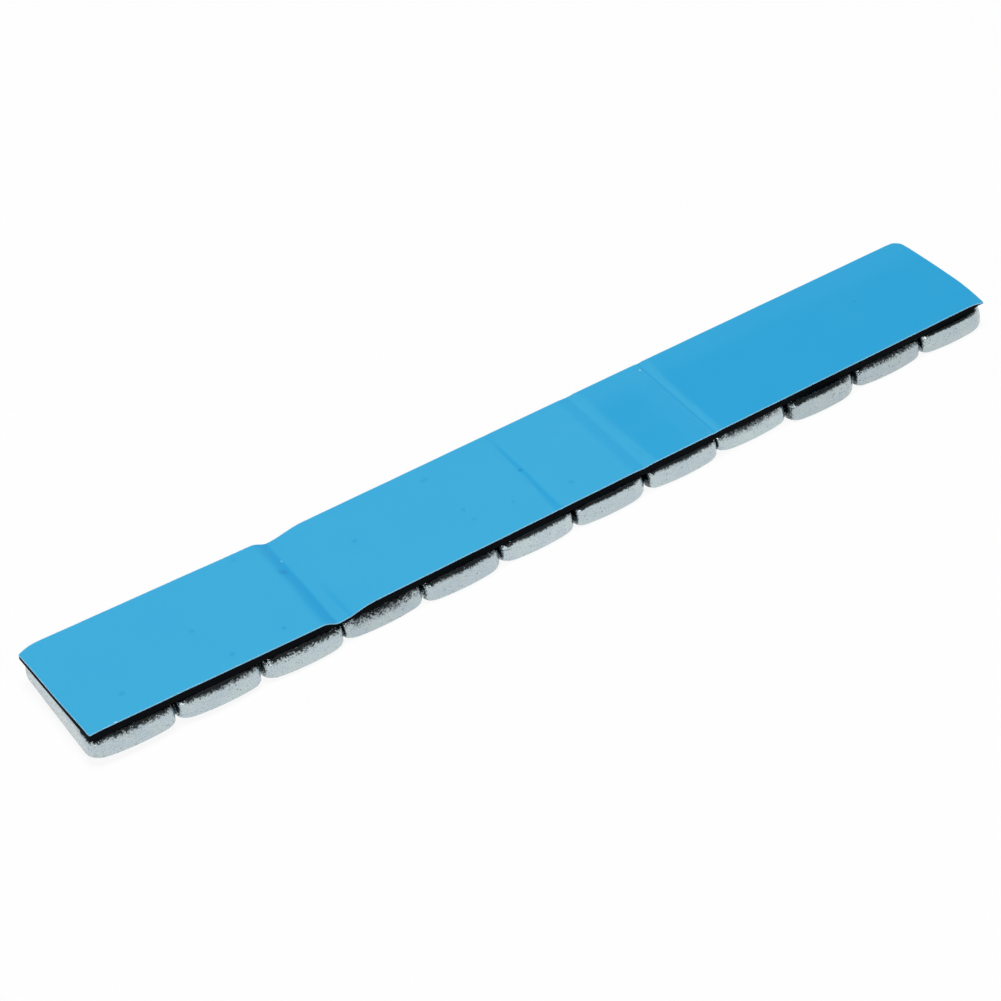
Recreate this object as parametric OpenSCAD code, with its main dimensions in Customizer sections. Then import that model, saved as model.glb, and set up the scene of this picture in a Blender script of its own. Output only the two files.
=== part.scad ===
// Adhesive wheel balance weight: a strip of separate steel segments that hang together only by the
// foam tape on their upper side, with the release liner still on the tape.
// The strip lies as it would on a table, steel down. X runs along it, Y across it and Z up.
// The origin is at the middle of its length and width, on the table. Millimetres and degrees.

/* [Segments] */
// Number of segments in the strip
seg_count = 12; // [4:1:24]
// Distance from one segment to the next
seg_pitch = 11.5; // [9:0.1:16]
// Gap between two neighbouring segments
seg_gap = 0.3; // [0.2:0.05:0.8]
// Size of a segment across the strip, at the middle of its bowed ends
seg_width = 19.3; // [14:0.1:25]
// Thickness of a segment
seg_thick = 3.15; // [1.6:0.1:5]
// Radius of a segment's four corners, seen from above
corner_r = 2; // [1.7:0.1:3]
// Height of the arc of a segment's bowed end, over its full length
end_crown = 0.5; // [0.1:0.1:1]
// Radius of the rolled edge that blanking leaves on the tape side, round the bowed ends
end_roll = 1.4; // [0.3:0.1:1.6]
// Radius of the same rolled edge along the gaps
side_roll = 0.7; // [0.2:0.1:1]
// Size of the flat that tumbling breaks on the edge at the table side
edge_break = 0.2; // [0.05:0.05:0.4]

/* [Tape] */
// Width of the foam tape and of its liner, less than that of the segments
tape_width = 18; // [10:0.1:22]
// Thickness of the foam tape
foam_thick = 1; // [0.7:0.05:2]
// Thickness of the release liner
liner_thick = 0.12; // [0.05:0.01:0.3]
// Steel left bare past the tape at the left end
bare_left = 0.1; // [0:0.1:2]
// Steel left bare past the tape at the right end
bare_right = 0.4; // [0:0.1:2]

/* [Bend] */
// Joint where the strip is bent, counted from the left end
bend_joint = 3; // [1:1:3]
// Angle at which the segments left of that joint rise from the table
bend_deg = 1.6; // [0:0.1:3]
// Depth to which the tape is pressed in over the bent joint
fold_depth = 0.75; // [0.1:0.05:0.8]
// Length of that fold's steep flank, left of the joint
fold_left = 2; // [1:0.1:4]
// Length of that fold's gentle flank, right of the joint
fold_right = 4; // [1:0.1:5.5]

/* [Creases] */
// First of the joints where the tape has only a fine crease
crease_first = 6; // [5:1:7]
// Last of the joints where the tape has only a fine crease
crease_last = 8; // [7:1:10]
// Depth of a fine crease
crease_depth = 0.08; // [0.02:0.01:0.3]
// Length of each flank of a fine crease
crease_reach = 1.2; // [0.6:0.1:3]

/* [Hidden] */
// How far each segment was laid off the strip's centre line, from left to right
seg_shift = [0, -0.1, -0.2, 0.2, -0.2, 0, -0.1, 0.1, 0.5, -0.5, 0, 0];

seg_len = seg_pitch - seg_gap;
strip_len = seg_count * seg_pitch - seg_gap;
bend_x = joint_x(bend_joint);
left_end_x = bend_x * (1 - cos(bend_deg));
middle_x = (left_end_x + strip_len) / 2;
foam_top = seg_thick + foam_thick;
liner_top = foam_top + liner_thick;

// Steps along a quarter of a segment's bowed end, round a corner, over the rolled edge and down a crease
crown_steps = 3;
corner_steps = 6;
roll_steps = 6;
flank_steps = 6;

// Points closer than this count as one
same_point = 0.001;

steel_colour = "#c4cace";
foam_colour = "#15171a";
liner_colour = "#3fa9da";

seg_names = [for (i = [1:seg_count]) str("segment_", i < 10 ? "0" : "", i)];

// Joint k is the middle of the gap after segment k, measured from the strip's left end
function joint_x(k) = k * seg_pitch - seg_gap / 2;

// Where a point of the flat strip, s along it and h above the table, lies once the strip is bent
function bent(s, h) =
    abs(s - bend_x) < same_point ? [bend_x + h * tan(bend_deg / 2), h]
    : s > bend_x ? [s, h]
    : [
        bend_x + (s - bend_x) * cos(bend_deg) + h * sin(bend_deg),
        (bend_x - s) * sin(bend_deg) + h * cos(bend_deg)
    ];

// How far a segment's wall lies inside its widest outline at height z, facing a degrees off the X axis
function moved_in(z, a) =
    let (
        roll = side_roll + (end_roll - side_roll) * sin(a),
        up = max(0, z - seg_thick + roll)
    )
    max(0, edge_break - z) + roll - sqrt(max(0, roll * roll - up * up));

// An arc about centre, each point moved in as the wall is there at height z
function wall_arc(centre, r, from, to, steps, z) = [
    for (k = [0:steps])
        let (a = from + (to - from) * k / steps)
        centre + (r - moved_in(z, a)) * [cos(a), sin(a)]
];

function reversed(points) = [for (k = [len(points) - 1:-1:0]) points[k]];

function without_first(points) = [for (k = [1:len(points) - 1]) points[k]];

// One quarter of a segment's outline at height z: half of the bowed end, then the corner
function quarter(z) =
    let (
        half = seg_len / 2,
        bow_r = (half * half + end_crown * end_crown) / (2 * end_crown),
        bow_centre = [0, seg_width / 2 - bow_r],
        corner_x = half - corner_r,
        corner_rise = sqrt(pow(bow_r - corner_r, 2) - corner_x * corner_x),
        meet = atan2(corner_rise, corner_x)
    )
    concat(
        wall_arc(bow_centre, bow_r, 90, meet, crown_steps, z),
        without_first(wall_arc(bow_centre + [corner_x, corner_rise], corner_r, meet, 0, corner_steps, z))
    );

// A segment's whole outline at height z, clockwise from the middle of its far end
function outline(z) =
    let (
        q = quarter(z),
        right = concat(q, [for (p = reversed(q)) [p.x, -p.y]])
    )
    concat(right, [for (p = without_first(reversed(right))) if (p.x > same_point) [-p.x, p.y]]);

// Heights of a segment's outlines, from the table up
seg_levels = concat(
    [0, edge_break],
    [for (k = [0:roll_steps]) seg_thick - end_roll * (1 - sin(90 * k / roll_steps))]
);

// One blanked segment, centred on the origin with its lower face on the table
module blank() {
    rings = [for (z = seg_levels) [for (p = outline(z)) [p.x, p.y, z]]];
    n = len(rings[0]);
    walls = [
        for (r = [0:len(rings) - 2])
            for (k = [0:n - 1])
                let (next = (k + 1) % n)
                each [
                    [r * n + k, r * n + next, (r + 1) * n + next],
                    [r * n + k, (r + 1) * n + next, (r + 1) * n + k]
                ]
    ];
    bottom = [for (k = [n - 1:-1:0]) k];
    top = [for (k = [0:n - 1]) (len(rings) - 1) * n + k];
    polyhedron(points = [for (ring = rings) each ring], faces = concat(walls, [bottom, top]));
}

// Segment i in its place, those left of the bent joint turned up about it
module segment(i) {
    lift = i <= bend_joint ? bend_deg : 0;
    shift = seg_shift[(i - 1) % len(seg_shift)];
    color(steel_colour)
        translate([bend_x - middle_x, 0, 0])
            rotate([0, lift, 0])
                translate([(i - 1) * seg_pitch + seg_len / 2 - bend_x, shift, 0])
                    blank();
}

// The joints where the tape is folded or creased
tape_joints = [
    for (k = [1:seg_count - 1])
        if (k == bend_joint || (k >= crease_first && k <= crease_last)) k
];

function dip_depth(k) = k == bend_joint ? fold_depth : crease_depth;
function dip_left(k) = k == bend_joint ? fold_left : crease_reach;
function dip_right(k) = k == bend_joint ? fold_right : crease_reach;

// The tape's upper edge in the side view, left to right, with its lowest layer at height h.
// Over each joint in tape_joints it dips along a cosine curve.
function tape_edge(h) = concat(
    [bent(bare_left, h)],
    [
        for (k = tape_joints)
            for (step = [-flank_steps:flank_steps])
                let (
                    t = step / flank_steps,
                    reach = t < 0 ? dip_left(k) : dip_right(k),
                    dip = dip_depth(k) * (1 + cos(180 * t)) / 2
                )
                bent(joint_x(k) + t * reach, h - dip)
    ],
    [bent(strip_len - bare_right, h)]
);

// The tape's lower edge in the side view, left to right, flat on the steel
tape_base = [
    bent(bare_left, seg_thick),
    bent(bend_x, seg_thick),
    bent(strip_len - bare_right, seg_thick)
];

// A band as wide as the tape, between two edges of its side view
module tape_layer(upper, lower) {
    translate([-middle_x, tape_width / 2, 0])
        rotate([90, 0, 0])
            linear_extrude(height = tape_width)
                polygon(concat(lower, reversed(upper)));
}

module foam_tape() {
    color(foam_colour)
        tape_layer(tape_edge(foam_top), tape_base);
}

module release_liner() {
    color(liner_colour)
        tape_layer(tape_edge(liner_top), tape_edge(foam_top));
}

for (i = [1:seg_count]) {
    segment(i);
}
foam_tape();
release_liner();
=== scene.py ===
import math
from collections import namedtuple

import bpy
from mathutils import Matrix, Vector, noise


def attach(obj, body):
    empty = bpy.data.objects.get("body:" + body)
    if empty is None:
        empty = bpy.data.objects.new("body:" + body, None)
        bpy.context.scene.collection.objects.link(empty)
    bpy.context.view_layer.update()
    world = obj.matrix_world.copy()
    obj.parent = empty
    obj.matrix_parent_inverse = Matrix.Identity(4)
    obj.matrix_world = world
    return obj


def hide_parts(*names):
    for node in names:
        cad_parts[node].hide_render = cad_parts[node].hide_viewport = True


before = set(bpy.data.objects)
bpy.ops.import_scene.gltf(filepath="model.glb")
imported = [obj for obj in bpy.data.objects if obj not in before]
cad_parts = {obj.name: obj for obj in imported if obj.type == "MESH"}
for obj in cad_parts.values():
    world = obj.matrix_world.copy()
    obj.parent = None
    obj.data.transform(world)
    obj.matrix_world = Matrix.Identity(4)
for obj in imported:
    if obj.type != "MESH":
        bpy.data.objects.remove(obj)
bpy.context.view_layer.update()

scene = bpy.context.scene
mm = 0.001

# Camera
# It looks down along the strip from beyond the near side of its left end, turned a little about its own
# axis. It has a long lens, because the photograph shows hardly any perspective.

view_target = Vector((-6.07, -0.71, 2.0)) * mm
view_distance = 332.7 * mm
view_azimuth, view_elevation, view_roll = (math.radians(a) for a in (-32.49, 39.656, -3.854))

camera = bpy.data.objects.new("camera", bpy.data.cameras.new("camera"))
camera.data.lens = 94.76
camera.data.sensor_width = 36
camera.data.clip_start = 0.01
camera.matrix_world = (
    Matrix.Translation(view_target)
    @ Matrix.Rotation(view_azimuth, 4, "Z")
    @ Matrix.Rotation(math.pi / 2 - view_elevation, 4, "X")
    @ Matrix.Rotation(view_roll, 4, "Z")
    @ Matrix.Translation((0, 0, view_distance))
)
scene.collection.objects.link(camera)
scene.camera = camera

# Steel segments
# Twelve weights of 5 g, each blanked from flat steel, which rolls its upper edge over, then tumbled, which
# takes the burr off its lower edge, and zinc plated. Only the tape holds them together, so some lie a little
# off line.

segment_count = 12
segment_pitch, segment_gap = 11.5 * mm, 0.3 * mm
segment_length = segment_pitch - segment_gap
segment_width, segment_thickness = 19.3 * mm, 3.15 * mm
# Height of the arc of a bowed end
end_bow = 0.5 * mm
# Radius of the rolled edge along the long sides, and of the tumbled edge
side_roll, tumbled_edge = 0.7 * mm, 0.3 * mm
# In mm: a corner's least radius, how much rounder the left and right ones are at the table, and all at the
# tape
least_corner, rounder_low, rounder_high = 0.8, (1.6, 1.25), 2.2
# Depth of the knocks of tumbling, and the distance between them
knock_depth, knock_size = 0.012 * mm, 1.5 * mm
# Segment by segment, in mm and degrees: how far it lies off its place along and across the strip and is
# turned, the radius of the rolled edge round its bowed ends, how much rounder its left and right corners are
# than the least radius, how strongly tumbling has grained it, how strongly painted shade darkens its wall
# that faces the gap at its left side, and how bright its plate is
lengthways = (0, -0.05, -0.05, -0.1, -0.15, -0.2, -0.35, -0.3, -0.3, -0.4, -0.35, -0.2)
sideways = (0, -0.1, -0.2, 0.2, -0.2, 0, -0.1, 0.1, 0.5, -0.5, 0, 0)
turned = (-1.7, -0.8, -0.1, -0.3, -0.2, -0.3, 0, -0.2, -0.5, 0, 0.15, 0)
rolled = (1.4, 1.4, 1.4, 2.8, 1.0, 1.1, 0.8, 1.3, 2.6, 0.8, 1.6, 0.5)
left_round = (0.6, 0.2, 0.25, 0, -0.2, 0.1, -0.4, -0.3, 0.3, 0, -0.4, -0.4)
right_round = (0.2, 0.2, 0.6, 0.1, 0.7, 0.5, 1.4, 0.4, 0, 1.5, 0.2, 1.5)
grained_by = (1.0, 0.9, 1.1, 0.85, 0.9, 0.7, 0.5, 0.5, 0.5, 0.9, 0.8, 0.8)
gap_shade_at_left = (0, 0.45, 0.45, 0.6, 0.45, 0.55, 0.7, 0.7, 0.6, 0.6, 0.55, 0.45)
brightness = (1.0, 1.0, 1.01, 0.94, 0.985, 1.05, 1.02, 1.01, 1.035, 0.9, 0.89, 0.94)

# The joint after segment 3 is bent, over a short curve to both sides of it
bent_joint, bend = 3, math.radians(1.6)
bend_reach = 1.5 * mm
strip_length = segment_count * segment_pitch - segment_gap


def joint_along(k):
    """How far along the flat strip the middle of the gap after segment k lies."""
    return k * segment_pitch - segment_gap / 2


bend_along = joint_along(bent_joint)
strip_middle = (bend_along * (1 - math.cos(bend)) + strip_length) / 2


def on_strip(along, across, height):
    """Where a point of the flat strip lies once its left end is bent up."""
    s = along - bend_along
    angle = bend * min(1, max(0, (bend_reach - s) / (2 * bend_reach)))
    if s < -bend_reach:
        reach, rise = s * math.cos(bend), -s * math.sin(bend)
    else:
        reach, rise = s, math.sin(bend) * max(0, bend_reach - s) ** 2 / (4 * bend_reach)
    return Vector((
        bend_along + reach + height * math.sin(angle) - strip_middle,
        across,
        rise + height * math.cos(angle),
    ))


def moved_in(height, facing, end_roll):
    """How far a segment's wall lies inside its widest outline, at this height and facing this way."""
    roll = side_roll + (end_roll - side_roll) * abs(math.sin(facing))
    up, down = max(0, height - segment_thickness + roll), max(0, tumbled_edge - height)
    return roll - math.sqrt(roll**2 - up**2) + tumbled_edge - math.sqrt(tumbled_edge**2 - down**2)


def quarter_ring(height, end_roll, rounder, at_table):
    """Points of the far right quarter of a segment at this height, from its long side to its bowed end."""
    # The corner is sharpest a little above the table
    low, high = max(0, 1 - height / (0.6 * mm)) ** 2, (height / segment_thickness) ** 4
    corner_radius = (least_corner + rounder + at_table * low + rounder_high * high) * mm
    half = segment_length / 2
    bow_radius = (half**2 + end_bow**2) / (2 * end_bow)
    bow_middle = segment_width / 2 - bow_radius
    corner_x = half - corner_radius
    corner_rise = math.sqrt((bow_radius - corner_radius) ** 2 - corner_x**2)
    meet = math.atan2(corner_rise, corner_x)
    points = [(half - moved_in(height, 0, end_roll), (bow_middle + corner_rise) * k / 8) for k in range(8)]
    for k in range(25):
        a = meet * k / 12 if k < 12 else meet + (math.pi / 2 - meet) * (k - 12) / 12
        radius = (corner_radius if k < 12 else bow_radius) - moved_in(height, a, end_roll)
        middle = (corner_x, bow_middle + corner_rise) if k < 12 else (0, bow_middle)
        points.append((middle[0] + radius * math.cos(a), middle[1] + radius * math.sin(a)))
    return points


def segment_ring(height, end_roll, rounder):
    """Points round a segment at this height, anticlockwise from above. Rounder is for its left and right."""
    left, right = (quarter_ring(height, end_roll, *extra) for extra in zip(rounder, rounder_low))
    upper = right + [(-x, y) for x, y in left[-2::-1]]
    return [(x, y, height) for x, y in upper + [(x, -y) for x, y in upper[-2:0:-1]]]


def shrunk(ring, share):
    """The ring drawn in towards the segment's middle, for the inner points of a flat face."""
    return [(x * share, y * share, z) for x, y, z in ring]


def steel_blank(end_roll, rounder):
    """One segment at the origin: flat lower face, tumbled edge, wall, rolled edge and flat upper face."""
    wall_top = segment_thickness - end_roll
    heights = [tumbled_edge * (1 - math.cos(math.pi / 2 * k / 4)) for k in range(5)]
    heights += [tumbled_edge + (wall_top - tumbled_edge) * k / 7 for k in range(1, 8)]
    heights += [wall_top + end_roll * math.sin(math.pi / 2 * k / 18) for k in range(1, 19)]
    rings = [segment_ring(height, end_roll, rounder) for height in heights]
    below, above = ([shrunk(ring, share) for share in (0.4, 0.85)] for ring in (rings[0], rings[-1]))
    rings = below + rings + above[::-1]
    n = len(rings[0])
    walls = [
        (r * n + k, r * n + (k + 1) % n, (r + 1) * n + (k + 1) % n, (r + 1) * n + k)
        for r in range(len(rings) - 1)
        for k in range(n)
    ]
    caps = [tuple(range(n - 1, -1, -1)), tuple(range((len(rings) - 1) * n, len(rings) * n))]
    mesh = bpy.data.meshes.new("steel_blank")
    mesh.from_pydata([p for ring in rings for p in ring], [], walls + caps)
    blank = bpy.data.objects.new("steel_blank", mesh)
    scene.collection.objects.link(blank)
    return blank


def linear(hex_colour):
    """The colour that a shader takes for an sRGB hex value."""
    parts = [int(hex_colour[k : k + 2], 16) / 255 for k in (1, 3, 5)]
    return [c / 12.92 if c <= 0.04045 else ((c + 0.055) / 1.055) ** 2.4 for c in parts] + [1.0]


def add_node(tree, kind, settings, inputs):
    """A new node of tree with its settings, and each input set to a value or linked to a socket."""
    new = tree.nodes.new(kind)
    for name, value in settings.items():
        setattr(new, name, value)
    for name, value in inputs.items():
        if isinstance(value, bpy.types.NodeSocket):
            tree.links.new(value, new.inputs[name])
        else:
            new.inputs[name].default_value = value
    return new


def new_material(name):
    """An empty material with its Principled shader, its output and its Object coordinates."""
    material = bpy.data.materials.new(name)
    material.use_nodes = True
    tree = material.node_tree
    tree.nodes.clear()
    shader = add_node(tree, "ShaderNodeBsdfPrincipled", {}, {})
    add_node(tree, "ShaderNodeOutputMaterial", {}, {"Surface": shader.outputs["BSDF"]})
    return material, tree, shader, add_node(tree, "ShaderNodeTexCoord", {}, {}).outputs["Object"]


# Barrel-tumbled steel under a thin zinc plate: a pale, slightly blue metal whose fine grain breaks up the
# line between the dark ceiling and the bright table that it mirrors. Blanking left small pits and scored
# lines in it.
zinc, tree, shader, place = new_material("tumbled_zinc_plate")
tumbling = add_node(tree, "ShaderNodeAttribute", {"attribute_name": "tumbling"}, {})
# Painted shade: this attribute darkens the walls that face the gaps between segments, where shade falls
grime = add_node(tree, "ShaderNodeAttribute", {"attribute_name": "grime"}, {})
plate = add_node(tree, "ShaderNodeAttribute", {"attribute_name": "brightness"}, {})
patches = add_node(tree, "ShaderNodeTexNoise", {}, {"Vector": place, "Scale": 1 / (2.2 * mm), "Detail": 3.0})
tint = add_node(tree, "ShaderNodeValToRGB", {}, {"Fac": patches.outputs[0]})
tint.color_ramp.elements[0].position, tint.color_ramp.elements[0].color = 0.32, linear("#B7C5CD")
tint.color_ramp.elements[1].position, tint.color_ramp.elements[1].color = 0.68, linear("#C0CDCE")
# Faint shearing streaks, about 0.2 mm apart, along the walls
along_walls = add_node(
    tree,
    "ShaderNodeMapping",
    {},
    {"Vector": place, "Scale": (1 / (2.5 * mm), 1 / (2.5 * mm), 1 / (0.22 * mm))},
)
streaks = add_node(
    tree,
    "ShaderNodeTexNoise",
    {},
    {"Vector": along_walls.outputs[0], "Scale": 1.0, "Detail": 4.0, "Roughness": 0.6},
)
streak_mask = add_node(
    tree,
    "ShaderNodeMapRange",
    {},
    {"Value": streaks.outputs[0], "From Min": 0.56, "From Max": 0.76, "To Max": 0.3},
)
streaked = add_node(
    tree,
    "ShaderNodeMix",
    {"data_type": "RGBA"},
    {0: streak_mask.outputs[0], 6: tint.outputs[0], 7: linear("#8E979E")},
)
# Grain about 0.2 mm across, which is coarser than the real grain, because that is too fine to show
grain = add_node(
    tree,
    "ShaderNodeTexNoise",
    {},
    {"Vector": place, "Scale": 1 / (0.17 * mm), "Detail": 2.0, "Roughness": 0.65},
)
grain_shade = add_node(
    tree,
    "ShaderNodeMapRange",
    {},
    {"Value": grain.outputs[0], "From Min": 0.48, "From Max": 0.68, "To Max": 0.5},
)
grained = add_node(
    tree,
    "ShaderNodeMix",
    {"data_type": "RGBA"},
    {0: grain_shade.outputs[0], 6: streaked.outputs[2], 7: linear("#8B999F")},
)
# Pits about 0.2 mm wide and 0.6 mm apart, in patches
pits = add_node(
    tree, "ShaderNodeTexVoronoi", {}, {"Vector": place, "Scale": 1 / (0.6 * mm), "Randomness": 1.0}
)
pit_mask = add_node(
    tree,
    "ShaderNodeMapRange",
    {},
    {"Value": pits.outputs["Distance"], "From Min": 0.08, "From Max": 0.27, "To Min": 1.0, "To Max": 0.0},
)
pit_spread = add_node(tree, "ShaderNodeTexNoise", {}, {"Vector": place, "Scale": 1 / (1.4 * mm)})
pit_share = add_node(
    tree, "ShaderNodeMapRange", {}, {"Value": pit_spread.outputs[0], "From Min": 0.49, "From Max": 0.58}
)
pitted = add_node(
    tree, "ShaderNodeMath", {"operation": "MULTIPLY"}, {0: pit_mask.outputs[0], 1: pit_share.outputs[0]}
)
# Scored lines about 0.1 mm wide and a millimetre or two long
scored_place = add_node(
    tree,
    "ShaderNodeMapping",
    {},
    {"Vector": place, "Scale": (1 / (2.4 * mm), 1 / (2.4 * mm), 1 / (0.16 * mm))},
)
scores = add_node(
    tree, "ShaderNodeTexNoise", {}, {"Vector": scored_place.outputs[0], "Scale": 1.0, "Detail": 1.0}
)
score_mask = add_node(
    tree, "ShaderNodeMapRange", {}, {"Value": scores.outputs[0], "From Min": 0.735, "From Max": 0.775}
)
marks = add_node(
    tree, "ShaderNodeMath", {"operation": "MAXIMUM"}, {0: pitted.outputs[0], 1: score_mask.outputs[0]}
)
mark_shade = add_node(tree, "ShaderNodeMath", {"operation": "MULTIPLY"}, {0: marks.outputs[0], 1: 0.7})
marked = add_node(
    tree,
    "ShaderNodeMix",
    {"data_type": "RGBA"},
    {0: mark_shade.outputs[0], 6: grained.outputs[2], 7: linear("#454C50")},
)
# Painted shade darkens the walls that face the gaps between segments, broken up by the grain beside them
gap_shade_level = add_node(
    tree,
    "ShaderNodeMath",
    {"operation": "MULTIPLY_ADD"},
    {0: grain.outputs[0], 1: 1.8, 2: grime.outputs["Fac"]},
)
gap_shade_mask = add_node(
    tree,
    "ShaderNodeMapRange",
    {},
    {"Value": gap_shade_level.outputs[0], "From Min": 1.24, "From Max": 1.45, "To Max": 0.85},
)
gap_shaded_colour = add_node(
    tree,
    "ShaderNodeMix",
    {"data_type": "RGBA"},
    {0: gap_shade_mask.outputs[0], 6: marked.outputs[2], 7: linear("#1C2125")},
)
metal_colour = add_node(
    tree,
    "ShaderNodeVectorMath",
    {"operation": "SCALE"},
    {0: gap_shaded_colour.outputs[2], "Scale": plate.outputs["Fac"]},
)
gloss = add_node(
    tree,
    "ShaderNodeMapRange",
    {},
    {"Value": grain.outputs[0], "From Min": 0.3, "From Max": 0.7, "To Min": 0.12, "To Max": 0.2},
)
dents = add_node(
    tree,
    "ShaderNodeMath",
    {"operation": "MULTIPLY_ADD"},
    {0: marks.outputs[0], 1: -1.4, 2: grain.outputs[0]},
)
relief = add_node(
    tree,
    "ShaderNodeBump",
    {},
    {"Strength": tumbling.outputs["Fac"], "Distance": 0.03 * mm, "Height": dents.outputs[0]},
)
# Each grain leans its own way, so next to the dark ceiling it mirrors some grains are bright and some dark
grains = add_node(tree, "ShaderNodeTexVoronoi", {}, {"Vector": place, "Scale": 1 / (0.21 * mm)})
leaning = add_node(
    tree, "ShaderNodeVectorMath", {"operation": "SUBTRACT"}, {0: grains.outputs["Color"], 1: (0.5, 0.5, 0.5)}
)
lean = add_node(tree, "ShaderNodeMath", {"operation": "MULTIPLY"}, {0: tumbling.outputs["Fac"], 1: 0.3})
leaned = add_node(
    tree, "ShaderNodeVectorMath", {"operation": "SCALE"}, {0: leaning.outputs[0], "Scale": lean.outputs[0]}
)
tipped = add_node(
    tree, "ShaderNodeVectorMath", {"operation": "ADD"}, {0: relief.outputs[0], 1: leaned.outputs[0]}
)
facing = add_node(tree, "ShaderNodeVectorMath", {"operation": "NORMALIZE"}, {0: tipped.outputs[0]})
for name, socket in (
    ("Base Color", metal_colour.outputs[0]), ("Roughness", gloss.outputs[0]), ("Normal", facing.outputs[0])
):
    tree.links.new(socket, shader.inputs[name])
shader.inputs["Metallic"].default_value = 1.0

# Puts the blank on a point, tilted and turned as its segment lies, knocks its walls and rolled edges, and
# marks the painted shade on its walls that face the gaps
tumbled = bpy.data.node_groups.new("tumbled_segment", "GeometryNodeTree")
for name, kind in (
    ("Place", "Geometry"),
    ("Blank", "Object"),
    ("Lift", "Float"),
    ("Turn", "Float"),
    ("Knock depth", "Float"),
    ("Knock size", "Float"),
    ("Seed", "Int"),
    ("Tumbling", "Float"),
    ("Brightness", "Float"),
    ("Gap at left", "Float"),
    ("Gap at right", "Float"),
    ("Finish", "Material"),
):
    tumbled.interface.new_socket(name, in_out="INPUT", socket_type="NodeSocket" + kind)
tumbled.interface.new_socket("Segment", in_out="OUTPUT", socket_type="NodeSocketGeometry")
given = add_node(tumbled, "NodeGroupInput", {}, {}).outputs
shape = add_node(tumbled, "GeometryNodeObjectInfo", {}, {"Object": given["Blank"]})
lie = add_node(tumbled, "ShaderNodeCombineXYZ", {}, {"Y": given["Lift"], "Z": given["Turn"]})
placed = add_node(
    tumbled,
    "GeometryNodeInstanceOnPoints",
    {},
    {"Points": given["Place"], "Instance": shape.outputs["Geometry"], "Rotation": lie.outputs[0]},
)
solid = add_node(tumbled, "GeometryNodeRealizeInstances", {}, {0: placed.outputs[0]})
fineness = add_node(tumbled, "ShaderNodeMath", {"operation": "DIVIDE"}, {0: 1.0, 1: given["Knock size"]})
knocks = add_node(
    tumbled,
    "ShaderNodeTexNoise",
    {"noise_dimensions": "4D"},
    {"W": given["Seed"], "Scale": fineness.outputs[0], "Detail": 1.0},
)
outward = add_node(tumbled, "GeometryNodeInputNormal", {}, {}).outputs[0]
upward = add_node(tumbled, "ShaderNodeSeparateXYZ", {}, {0: outward})
flatness = add_node(tumbled, "ShaderNodeMath", {"operation": "ABSOLUTE"}, {0: upward.outputs["Z"]})
wall_share = add_node(tumbled, "ShaderNodeMath", {"operation": "SUBTRACT"}, {0: 1.0, 1: flatness.outputs[0]})
swing = add_node(
    tumbled,
    "ShaderNodeMapRange",
    {},
    {"Value": knocks.outputs[0], "From Min": 0.3, "From Max": 0.7, "To Min": -1.0},
)
depth = add_node(
    tumbled, "ShaderNodeMath", {"operation": "MULTIPLY"}, {0: swing.outputs[0], 1: given["Knock depth"]}
)
depth = add_node(
    tumbled, "ShaderNodeMath", {"operation": "MULTIPLY"}, {0: depth.outputs[0], 1: wall_share.outputs[0]}
)
push = add_node(
    tumbled, "ShaderNodeVectorMath", {"operation": "SCALE"}, {0: outward, "Scale": depth.outputs[0]}
)
worn = add_node(
    tumbled, "GeometryNodeSetPosition", {}, {"Geometry": solid.outputs[0], "Offset": push.outputs[0]}
)
graded = add_node(
    tumbled,
    "GeometryNodeStoreNamedAttribute",
    {"data_type": "FLOAT", "domain": "POINT"},
    {"Geometry": worn.outputs[0], "Name": "tumbling", "Value": given["Tumbling"]},
)
plated = add_node(
    tumbled,
    "GeometryNodeStoreNamedAttribute",
    {"data_type": "FLOAT", "domain": "POINT"},
    {"Geometry": graded.outputs[0], "Name": "brightness", "Value": given["Brightness"]},
)
# Painted shade: the walls that face the gap at either side are marked to be darkened, as shade falls between
# segments
to_left = add_node(
    tumbled, "ShaderNodeMapRange", {}, {"Value": upward.outputs["X"], "From Min": -0.55, "From Max": -0.95}
)
to_right = add_node(
    tumbled, "ShaderNodeMapRange", {}, {"Value": upward.outputs["X"], "From Min": 0.85, "From Max": 0.97}
)
in_left = add_node(
    tumbled, "ShaderNodeMath", {"operation": "MULTIPLY"}, {0: to_left.outputs[0], 1: given["Gap at left"]}
)
in_right = add_node(
    tumbled, "ShaderNodeMath", {"operation": "MULTIPLY"}, {0: to_right.outputs[0], 1: given["Gap at right"]}
)
in_gap = add_node(
    tumbled, "ShaderNodeMath", {"operation": "ADD"}, {0: in_left.outputs[0], 1: in_right.outputs[0]}
)
shaded_at_gaps = add_node(
    tumbled,
    "GeometryNodeStoreNamedAttribute",
    {"data_type": "FLOAT", "domain": "POINT"},
    {"Geometry": plated.outputs[0], "Name": "grime", "Value": in_gap.outputs[0]},
)
smooth = add_node(tumbled, "GeometryNodeSetShadeSmooth", {}, {0: shaded_at_gaps.outputs[0]})
finished = add_node(
    tumbled, "GeometryNodeSetMaterial", {}, {"Geometry": smooth.outputs[0], "Material": given["Finish"]}
)
add_node(tumbled, "NodeGroupOutput", {}, {0: finished.outputs[0]})
tumbled_inputs = {
    item.name: item.identifier for item in tumbled.interface.items_tree if item.in_out == "INPUT"
}


def made_plain(piece):
    """Turns a piece's modifiers into its mesh."""
    bpy.context.view_layer.update()
    done = bpy.data.meshes.new_from_object(piece.evaluated_get(bpy.context.evaluated_depsgraph_get()))
    piece.modifiers.clear()
    piece.data = done
    done.name = piece.name


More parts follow.
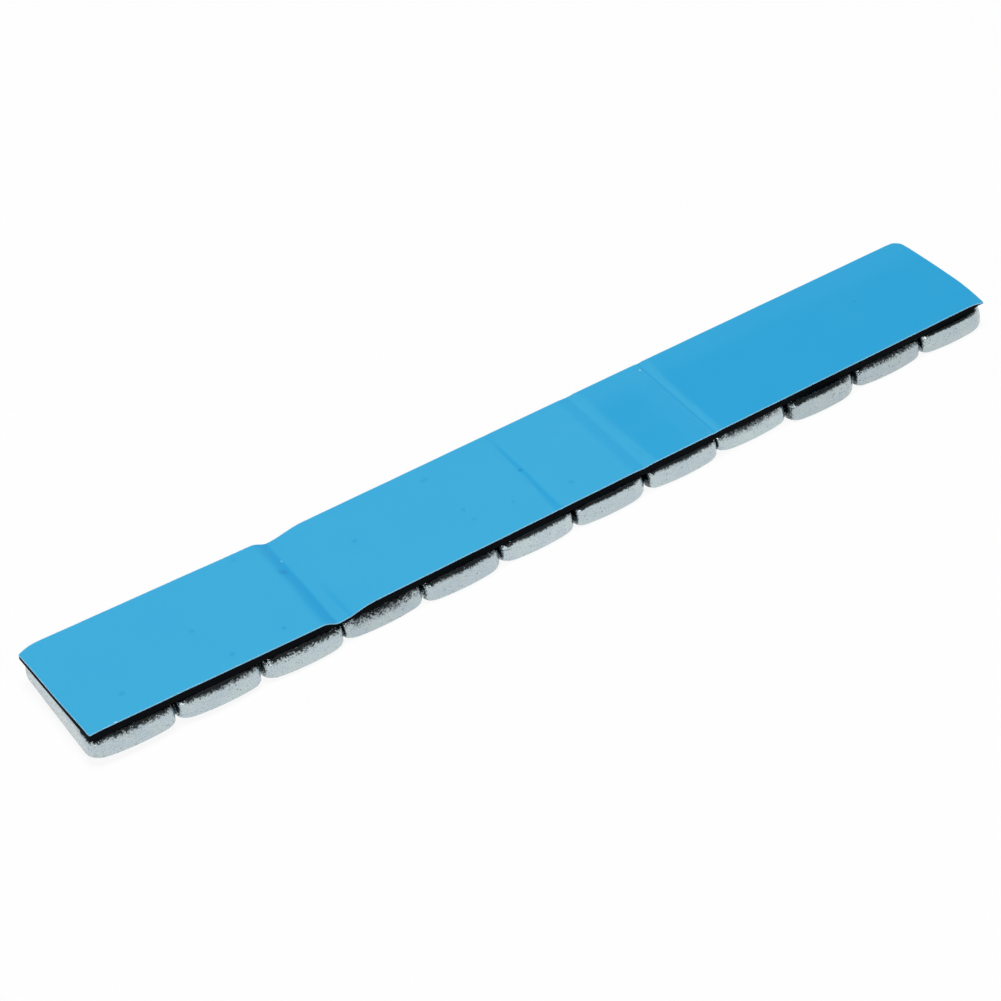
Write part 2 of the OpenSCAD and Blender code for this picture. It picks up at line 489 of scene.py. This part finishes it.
for k in range(segment_count):
    blank = steel_blank(rolled[k] * mm, (left_round[k], right_round[k]))
    along = k * segment_pitch + segment_length / 2
    spot = bpy.data.meshes.new("spot")
    spot.from_pydata([on_strip(along + lengthways[k] * mm, sideways[k] * mm, 0)], [], [])
    segment = bpy.data.objects.new(f"steel_segment_{k + 1:02d}", spot)
    scene.collection.objects.link(segment)
    barrel = segment.modifiers.new("tumbling", "NODES")
    barrel.node_group = tumbled
    for name, value in (
        ("Blank", blank),
        ("Lift", bend if k < bent_joint else 0.0),
        ("Turn", math.radians(turned[k])),
        ("Knock depth", knock_depth),
        ("Knock size", knock_size),
        ("Seed", k + 1),
        ("Tumbling", grained_by[k]),
        ("Brightness", brightness[k]),
        ("Gap at left", gap_shade_at_left[k]),
        ("Gap at right", 0.8 if k < segment_count - 1 else 0.0),
        ("Finish", zinc),
    ):
        barrel[tumbled_inputs[name]] = value
    made_plain(segment)
    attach(segment, "root")
    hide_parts(f"segment_{k + 1:02d}")
    bpy.data.objects.remove(blank)

# Foam tape
# Black closed-cell foam with adhesive on both faces, slit to width and cut to length. It lies on the steel,
# is pressed in where the strip was bent, and its corners sag where the round corners of the steel give no
# support.

tape_width, foam_thickness = 18 * mm, 1 * mm
tape_start, tape_end = 0.1 * mm, strip_length - 0.4 * mm
foam_top = segment_thickness + foam_thickness

# Creases in the tape, left to right, in mm: joint, place right of it at the far and at the near edge, depth
# in the middle, extra depth at the far and at the near edge, and the lengths of the left and the right flank
Crease = namedtuple("Crease", "joint far near depth far_extra near_extra left right")
creases = (
    Crease(3, -0.1, -0.7, 0.6, 0.1, 0.12, 2.3, 5.2),
    Crease(3, 1.2, 1.0, 0.02, 0.0, 0.03, 0.6, 0.9),
    Crease(6, -1.6, -2.4, 0.035, 0.0, 0.015, 0.5, 0.6),
    Crease(7, 0.0, -0.9, 0.09, 0.0, 0.0, 1.7, 1.2),
    Crease(8, 0.0, -1.1, 0.07, 0.02, 0.0, 0.7, 0.9),
)

# Corners of the tape that sag: which end and which side, then depth and reach along and across, in mm
Sag = namedtuple("Sag", "end side depth along across")
sags = (
    Sag(-1, 1, 0.25, 3.0, 4.5),
    Sag(1, 1, 0.15, 2.6, 2.6),
    Sag(1, -1, 0.55, 2.6, 5.7),
)

# Corners of the tape seen from above: which end and which side, and the radius in mm
corner_rounds = ((-1, -1, 0.25), (-1, 1, 0.1), (1, -1, 0.2), (1, 1, 1.15))


def ease(t):
    """Rises from 0 to 1 along an S-curve as t does."""
    t = min(1.0, max(0.0, t))
    return t * t * (3 - 2 * t)


def crease_at(crease, across):
    """How far along the strip a crease lies at this place across it."""
    share = across / tape_width + 0.5
    return joint_along(crease.joint) + (crease.near + (crease.far - crease.near) * share) * mm


def tape_drop(along, across):
    """How far the tape's upper face lies below its flat height."""
    drop = 0.0
    side = across / (tape_width / 2)
    for crease in creases:
        off = along - crease_at(crease, across)
        t = abs(off) / ((crease.left if off < 0 else crease.right) * mm)
        far, near = ease((side - 0.55) / 0.45), ease((-side - 0.55) / 0.45)
        extra = crease.far_extra * far + crease.near_extra * near
        drop += (crease.depth + extra) * mm * ease(1 - t)
    for sag in sags:
        from_end = (tape_end - along if sag.end > 0 else along - tape_start) / (sag.along * mm)
        from_side = (tape_width / 2 - across * sag.side) / (sag.across * mm)
        drop += sag.depth * mm * max(0, 1 - from_end - from_side) ** 1.6
    # The blade that cut the strip to length dragged the left end down
    pulled = max(0, 1 - (along - tape_start) / (2.2 * mm))
    drop += (0.12 + 0.4 * ease((side + 1) / 1.1)) * mm * pulled**2
    return drop


def on_tape(along, across, height):
    """Where a point of the tape lies, with the tape's round corners, uneven cuts and bend."""
    edge = abs(across) / (tape_width / 2)
    for end, side, radius in corner_rounds:
        radius *= mm
        middle = (tape_end - radius if end > 0 else tape_start + radius, side * (tape_width / 2 - radius))
        u, v = end * (along - middle[0]) / radius, side * (across - middle[1]) / radius
        if u > 0 and v > 0:
            along = middle[0] + end * radius * u * math.sqrt(1 - v * v / 2)
            across = middle[1] + side * radius * v * math.sqrt(1 - u * u / 2)
    side = across / (tape_width / 2)
    bow = 0.18 - 0.36 * ((side - 0.35) / 1.35) ** 2
    at_right, at_left = ease(1 - (tape_end - along) / (5 * mm)), ease(1 - (along - tape_start) / (5 * mm))
    along += bow * mm * at_right - 0.15 * mm * at_left
    across *= 1 + 0.004 * edge**6 * noise.noise(Vector((along / (5 * mm), math.copysign(3, across), 0)))
    return on_strip(along, across, height)


def spread(stops):
    """Numbers from the first stop to the last, with the given step between each stop and the next."""
    numbers = []
    for (start, step), (end, _) in zip(stops, stops[1:]):
        count = max(1, round((end - start) / step))
        numbers += [start + (end - start) * k / count for k in range(count)]
    return numbers + [stops[-1][0]]


# Rows of points along the tape, close together at its ends and creases, and lanes across it, close at its
# edges
row_stops = [(tape_start, 0.08 * mm), (tape_start + 1.5 * mm, 0.25 * mm), (tape_start + 6 * mm, 0.8 * mm)]
for crease in (creases[0], *creases[2:]):
    middle = (crease_at(crease, 1) + crease_at(crease, -1)) / 2
    row_stops += [
        (middle - 4 * mm, 0.3 * mm),
        (middle - 2.4 * mm, 0.1 * mm),
        (middle + 1.6 * mm, 0.25 * mm),
        (middle + 4 * mm, 0.8 * mm),
    ]
row_stops += [(tape_end - 6 * mm, 0.25 * mm), (tape_end - 1.5 * mm, 0.08 * mm), (tape_end, 0)]
tape_rows = spread(row_stops)
half_lanes = spread([(0, 0.6 * mm), (6 * mm, 0.3 * mm), (7.6 * mm, 0.12 * mm), (tape_width / 2, 0)])
tape_lanes = [-y for y in half_lanes[:0:-1]] + half_lanes


def slab(name, rows, lanes, levels, place):
    """A closed flat piece with points all over its faces, each put where place says."""
    end, far, top = len(rows) - 1, len(lanes) - 1, len(levels) - 1
    index, points = {}, []
    for i, along in enumerate(rows):
        for j, across in enumerate(lanes):
            for k, level in enumerate(levels):
                if i in (0, end) or j in (0, far) or k in (0, top):
                    index[i, j, k] = len(points)
                    points.append(place(along, across, level))
    corners = []
    for i in range(end):
        for j in range(far):
            corners.append(((i, j, top), (i + 1, j, top), (i + 1, j + 1, top), (i, j + 1, top)))
            corners.append(((i, j, 0), (i, j + 1, 0), (i + 1, j + 1, 0), (i + 1, j, 0)))
        for k in range(top):
            corners.append(((i, 0, k), (i + 1, 0, k), (i + 1, 0, k + 1), (i, 0, k + 1)))
            corners.append(((i, far, k), (i, far, k + 1), (i + 1, far, k + 1), (i + 1, far, k)))
    for j in range(far):
        for k in range(top):
            corners.append(((0, j, k), (0, j, k + 1), (0, j + 1, k + 1), (0, j + 1, k)))
            corners.append(((end, j, k), (end, j + 1, k), (end, j + 1, k + 1), (end, j, k + 1)))
    mesh = bpy.data.meshes.new(name)
    mesh.from_pydata(points, [], [tuple(index[c] for c in face) for face in corners])
    mesh.shade_smooth()
    mesh.set_sharp_from_angle(angle=math.radians(50))
    piece = bpy.data.objects.new(name, mesh)
    scene.collection.objects.link(piece)
    return piece


def foam_point(along, across, level):
    """A point of the foam, level 0 on the steel and 1 under the liner, with a slightly rough cut side."""
    side = abs(across) / (tape_width / 2)
    # Its left end clings to the rolled edge of the steel
    past_flat = max(0, 1 - (along - tape_start) / (0.6 * mm))
    cling = (0.1 + 0.15 * ease(across / tape_width + 0.5)) * mm * past_flat**3
    height = segment_thickness - cling + level * (foam_thickness + cling - tape_drop(along, across))
    # Its right near corner is drawn in under the liner, down to the steel's round corner
    from_corner = (tape_end - along + across + tape_width / 2) / (2.2 * mm)
    drawn = 0.6 * mm * max(0, 1 - from_corner) * (1 - level)
    rough = 0.035 * mm * side**30 * noise.noise(Vector((along / (0.7 * mm), across / (0.7 * mm), level * 2)))
    return on_tape(along - drawn, across + drawn + math.copysign(rough, across), height)


foam_tape = slab("foam_tape_strip", tape_rows, tape_lanes, (0, 0.25, 0.5, 0.75, 1), foam_point)

# Black closed-cell foam: almost no light comes back, and the slit side is matt with fine open cells
foam, tree, shader, place = new_material("black_closed_cell_foam")
cells = add_node(tree, "ShaderNodeTexVoronoi", {}, {"Vector": place, "Scale": 1 / (0.16 * mm)})
cell_colour = add_node(tree, "ShaderNodeValToRGB", {}, {"Fac": cells.outputs["Distance"]})
cell_colour.color_ramp.elements[0].color = linear("#05070A")
cell_colour.color_ramp.elements[1].color = linear("#0C1015")
cell_relief = add_node(
    tree, "ShaderNodeBump", {}, {"Strength": 0.6, "Distance": 0.02 * mm, "Height": cells.outputs["Distance"]}
)
tree.links.new(cell_colour.outputs[0], shader.inputs["Base Color"])
tree.links.new(cell_relief.outputs[0], shader.inputs["Normal"])
shader.inputs["Roughness"].default_value = 0.85
shader.inputs["Specular IOR Level"].default_value = 0.05
foam_tape.data.materials.append(foam)
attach(foam_tape, "root")
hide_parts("foam_tape")

# Release liner
# A blue polyethylene film, siliconised on its underside, that is peeled off before the weight is stuck to
# the rim. It was cut together with the foam, and it shows every fold and crease of the tape under it.

liner_thickness = 0.12 * mm


def liner_point(along, across, level):
    """A point of the liner, level 0 on the foam and 1 on its upper face."""
    height = foam_top - tape_drop(along, across) + level * liner_thickness
    return on_tape(along, across, height)


release_liner = slab("release_liner_film", tape_rows, tape_lanes, (0, 1), liner_point)
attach(release_liner, "root")
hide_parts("release_liner")

# Painted shade, 0 to 1, in and beside the creases and on the film's right part, partly where the film lies
# close to the black foam, and where its cut edge is, one value for each point
closeness = release_liner.data.attributes.new("closeness", "FLOAT", "POINT")
cut_edge = release_liner.data.attributes.new("cut_edge", "FLOAT", "POINT")


def closeness_and_shade_at(along, across):
    """Painted shade, 0 to 1: deeper right of the last crease, in the creases and left of each, partly where
    the film lies against the foam.
    """
    side = across / (tape_width / 2)
    far, near = ease((side - 0.3) / 0.6), ease(-side / 0.9)
    fold, second, thin, wide, last = ((along - crease_at(c, across)) / mm for c in creases)
    between = ease((wide - 1.2 - 0.3 * near) / 0.9) * ease(-last / 0.8)
    between *= 0.5 + 0.25 * ease((-last - 2) / 3)
    # Every term is painted shade: right of the last crease, between the creases, and in and left of each
    # crease
    return max(
        ease((last - 0.7 - 0.4 * far) / 0.9) * (0.95 - 0.3 * far),
        between * (1 - 0.5 * far),
        1.2 * ease((fold + 2.5 + 0.3 * near) / 1.4) * ease((0.15 - fold - 0.2 * near) / 0.6),
        0.5 * ease(1.2 - abs(second) / 0.45) * ease(0.2 - side),
        (0.85 - 0.6 * far) * ease(1.3 - abs(thin + 0.3 * near) / (0.4 + 0.25 * near)),
        0.5 * ease((wide + 2.3) / 1.1) * ease((0.1 - wide) / 0.4),
        0.85 * ease(1.2 - abs(last + 0.1) / 0.3),
    )


index = 0
for i, along in enumerate(tape_rows):
    for j, across in enumerate(tape_lanes):
        rim = i in (0, len(tape_rows) - 1) or j in (0, len(tape_lanes) - 1)
        for level in (0, 1):
            closeness.data[index].value = closeness_and_shade_at(along, across)
            # The whole rim gets the paler edge colour, partly the cut edge's own paleness and partly a
            # painted highlight
            cut_edge.data[index].value = 1.0 if rim else 0.0
            index += 1

# Extruded blue polyethylene film: an even satin blue, paler on its cut edge, partly a painted highlight, and
# deeper with painted shade in and beside its creases and on its right part, partly where it lies against the
# black foam. A little dust lies on it.
film, tree, shader, place = new_material("blue_polyethylene_film")
close_and_shade = add_node(tree, "ShaderNodeAttribute", {"attribute_name": "closeness"}, {})
cut = add_node(tree, "ShaderNodeAttribute", {"attribute_name": "cut_edge"}, {})
drift = add_node(tree, "ShaderNodeTexNoise", {}, {"Vector": place, "Scale": 1 / (7 * mm), "Detail": 3.0})
mottle = add_node(
    tree,
    "ShaderNodeMapRange",
    {},
    {"Value": drift.outputs[0], "From Min": 0.3, "From Max": 0.7, "To Min": -0.06, "To Max": 0.08},
)
depth = add_node(
    tree, "ShaderNodeMath", {"operation": "ADD"}, {0: close_and_shade.outputs["Fac"], 1: mottle.outputs[0]}
)
blue = add_node(
    tree,
    "ShaderNodeMix",
    {"data_type": "RGBA", "clamp_factor": False},
    {0: depth.outputs[0], 6: linear("#41AFDE"), 7: linear("#30A6DB")},
)


def spotted(places):
    """Where a material has spots, 0 to 1, from the place and the size of each in mm, and its strength."""
    total = 0.0
    for x, y, across_x, across_y, strength in places:
        off = add_node(
            tree, "ShaderNodeVectorMath", {"operation": "SUBTRACT"}, {0: place, 1: (x * mm, y * mm, 0)}
        )
        scaled = add_node(
            tree,
            "ShaderNodeVectorMath",
            {"operation": "MULTIPLY"},
            {0: off.outputs[0], 1: (2 / (across_x * mm), 2 / (across_y * mm), 0)},
        )
        reach = add_node(tree, "ShaderNodeVectorMath", {"operation": "LENGTH"}, {0: scaled.outputs[0]})
        spot = add_node(
            tree,
            "ShaderNodeMapRange",
            {"interpolation_type": "SMOOTHSTEP"},
            {
                "Value": reach.outputs["Value"],
                "From Min": 0.3,
                "From Max": 1.2,
                "To Min": strength,
                "To Max": 0.0,
            },
        )
        total = add_node(
            tree, "ShaderNodeMath", {"operation": "MAXIMUM"}, {0: total, 1: spot.outputs[0]}
        ).outputs[0]
    return total


# Darker spots where the film was pressed to the foam, and painted shade at the two pinches in its creases
pressed_and_pinch_shade = spotted((
    (-62.4, -5.1, 1.0, 0.8, 0.3),
    (-50.5, -0.5, 0.9, 0.8, 0.25),
    (-48.7, -6.9, 0.9, 0.9, 0.3),
    (-41.4, -6.6, 0.8, 0.8, 0.35),
    (-39.9, 7.8, 0.9, 0.8, 0.2),
    (-36.03, 2.52, 1.5, 1.3, 0.45),
    (-26.1, 1.8, 0.8, 0.7, 0.35),
    (-12.8, 6.35, 1.6, 0.6, 0.3),
    (-12.2, -1.6, 0.8, 0.8, 0.3),
    (-12.15, -3.9, 0.8, 0.7, 0.25),
    (-6.4, -4.2, 0.7, 0.7, 0.25),
    (-2.14, 0.39, 0.9, 0.7, 0.6),
    (1.5, -5.6, 0.9, 0.8, 0.3),
    (54.4, 1.6, 0.8, 0.8, 0.3),
))
pressed_and_pinch_shaded = add_node(
    tree, "ShaderNodeMix", {"data_type": "RGBA"}, {0: pressed_and_pinch_shade, 6: blue.outputs[2], 7: linear("#1F86C6")}
)
# Specks of dust
specks = spotted(
    ((22.41, 7.59, 0.35, 0.3, 0.8), (-34.97, 4.75, 0.4, 0.3, 0.35), (-65.3, -8.95, 0.5, 0.3, 1.0))
)
dusted = add_node(
    tree, "ShaderNodeMix", {"data_type": "RGBA"}, {0: specks, 6: pressed_and_pinch_shaded.outputs[2], 7: linear("#D5ECF6")}
)
# Paler cut edge: partly the film's own paler cut, partly a painted highlight along it
edged = add_node(
    tree,
    "ShaderNodeMix",
    {"data_type": "RGBA"},
    {0: cut.outputs["Fac"], 6: dusted.outputs[2], 7: linear("#8CCBEA")},
)
tree.links.new(edged.outputs[2], shader.inputs["Base Color"])
shader.inputs["Roughness"].default_value = 0.42
shader.inputs["IOR"].default_value = 1.51
shader.inputs["Specular IOR Level"].default_value = 0.08
ripple = add_node(tree, "ShaderNodeTexNoise", {}, {"Vector": place, "Scale": 1 / (1.3 * mm), "Detail": 4.0})
film_relief = add_node(
    tree, "ShaderNodeBump", {}, {"Strength": 0.5, "Distance": 0.01 * mm, "Height": ripple.outputs[0]}
)
tree.links.new(film_relief.outputs[0], shader.inputs["Normal"])
release_liner.data.materials.append(film)

# Floor, world and lamps
# A white table that keeps the strip's soft shadow, a bright horizon under a dark ceiling, which the rolled
# edges of the steel show, and two soft lamps, a strong one above and a weak one at the left in front of the
# strip.

floor_mesh = bpy.data.meshes.new("floor")
floor_mesh.from_pydata(
    [(x, y, -0.02 * mm) for x, y in ((-2, -2), (2, -2), (2, 2), (-2, 2))], [], [(0, 1, 2, 3)]
)
floor = bpy.data.objects.new("floor", floor_mesh)
scene.collection.objects.link(floor)
white = bpy.data.materials.new("white_table")
white.use_nodes = True
tree = white.node_tree
tree.nodes.clear()
seen = add_node(tree, "ShaderNodeLightPath", {}, {})
matt = add_node(tree, "ShaderNodeBsdfDiffuse", {}, {"Color": linear("#F8F8F8")})
glow = add_node(tree, "ShaderNodeEmission", {}, {"Color": (1, 1, 1, 1), "Strength": 1.0})
# The glow, for the camera and for the steel's mirror images, stops under the strip, so its gaps stay dark
spot = add_node(tree, "ShaderNodeTexCoord", {}, {}).outputs["Object"]
apart = add_node(tree, "ShaderNodeSeparateXYZ", {}, {0: spot})
off_middle = add_node(tree, "ShaderNodeMath", {"operation": "ABSOLUTE"}, {0: apart.outputs["Y"]})
off_end = add_node(tree, "ShaderNodeMath", {"operation": "ABSOLUTE"}, {0: apart.outputs["X"]})
beside = add_node(
    tree, "ShaderNodeMath", {"operation": "GREATER_THAN"}, {0: off_middle.outputs[0], 1: 7 * mm}
)
beyond = add_node(
    tree,
    "ShaderNodeMath",
    {"operation": "GREATER_THAN"},
    {0: off_end.outputs[0], 1: strip_length / 2 - 3 * mm},
)
clear = add_node(
    tree, "ShaderNodeMath", {"operation": "MAXIMUM"}, {0: beside.outputs[0], 1: beyond.outputs[0]}
)
looked_at = add_node(
    tree,
    "ShaderNodeMath",
    {"operation": "MAXIMUM"},
    {0: seen.outputs["Is Camera Ray"], 1: seen.outputs["Is Glossy Ray"]},
)
shown = add_node(
    tree, "ShaderNodeMath", {"operation": "MULTIPLY"}, {0: looked_at.outputs[0], 1: clear.outputs[0]}
)
share = add_node(tree, "ShaderNodeMath", {"operation": "MULTIPLY"}, {0: shown.outputs[0], 1: 0.9})
both = add_node(
    tree, "ShaderNodeMixShader", {}, {0: share.outputs[0], 1: matt.outputs[0], 2: glow.outputs[0]}
)
add_node(tree, "ShaderNodeOutputMaterial", {}, {"Surface": both.outputs[0]})
floor_mesh.materials.append(white)

world = bpy.data.worlds.new("studio")
scene.world = world
world.use_nodes = True
tree = world.node_tree
tree.nodes.clear()
direction = add_node(tree, "ShaderNodeTexCoord", {}, {}).outputs["Generated"]
height = add_node(tree, "ShaderNodeSeparateXYZ", {}, {0: direction})
ceiling = add_node(
    tree,
    "ShaderNodeMapRange",
    {"interpolation_type": "SMOOTHSTEP"},
    {"Value": height.outputs["Z"], "From Min": 0.1, "From Max": 0.55, "To Min": 0.95, "To Max": 0.035},
)
seen = add_node(tree, "ShaderNodeLightPath", {}, {})
level = add_node(
    tree,
    "ShaderNodeMix",
    {"data_type": "FLOAT"},
    {0: seen.outputs["Is Camera Ray"], 2: ceiling.outputs[0], 3: 1.0},
)
sky = add_node(tree, "ShaderNodeBackground", {}, {"Color": (1, 1, 1, 1), "Strength": level.outputs[0]})
add_node(tree, "ShaderNodeOutputWorld", {}, {"Surface": sky.outputs[0]})

for name, azimuth, elevation, distance, size, power, mirrored in (
    ("lamp_above", -75, 88, 0.9, 0.35, 6.8, False),
    ("lamp_front", -50, 27, 0.9, 0.2, 0.5, True),
):
    a, e = math.radians(azimuth), math.radians(elevation)
    toward = Vector((math.sin(a) * math.cos(e), -math.cos(a) * math.cos(e), math.sin(e)))
    lamp = bpy.data.lights.new(name, "AREA")
    lamp.size = size
    lamp.energy = power
    lamp_object = bpy.data.objects.new(name, lamp)
    lamp_object.location = toward * distance
    lamp_object.rotation_euler = toward.to_track_quat("Z", "Y").to_euler()
    lamp_object.visible_camera = False
    lamp_object.visible_glossy = mirrored
    scene.collection.objects.link(lamp_object)

scene.view_settings.view_transform = "Standard"
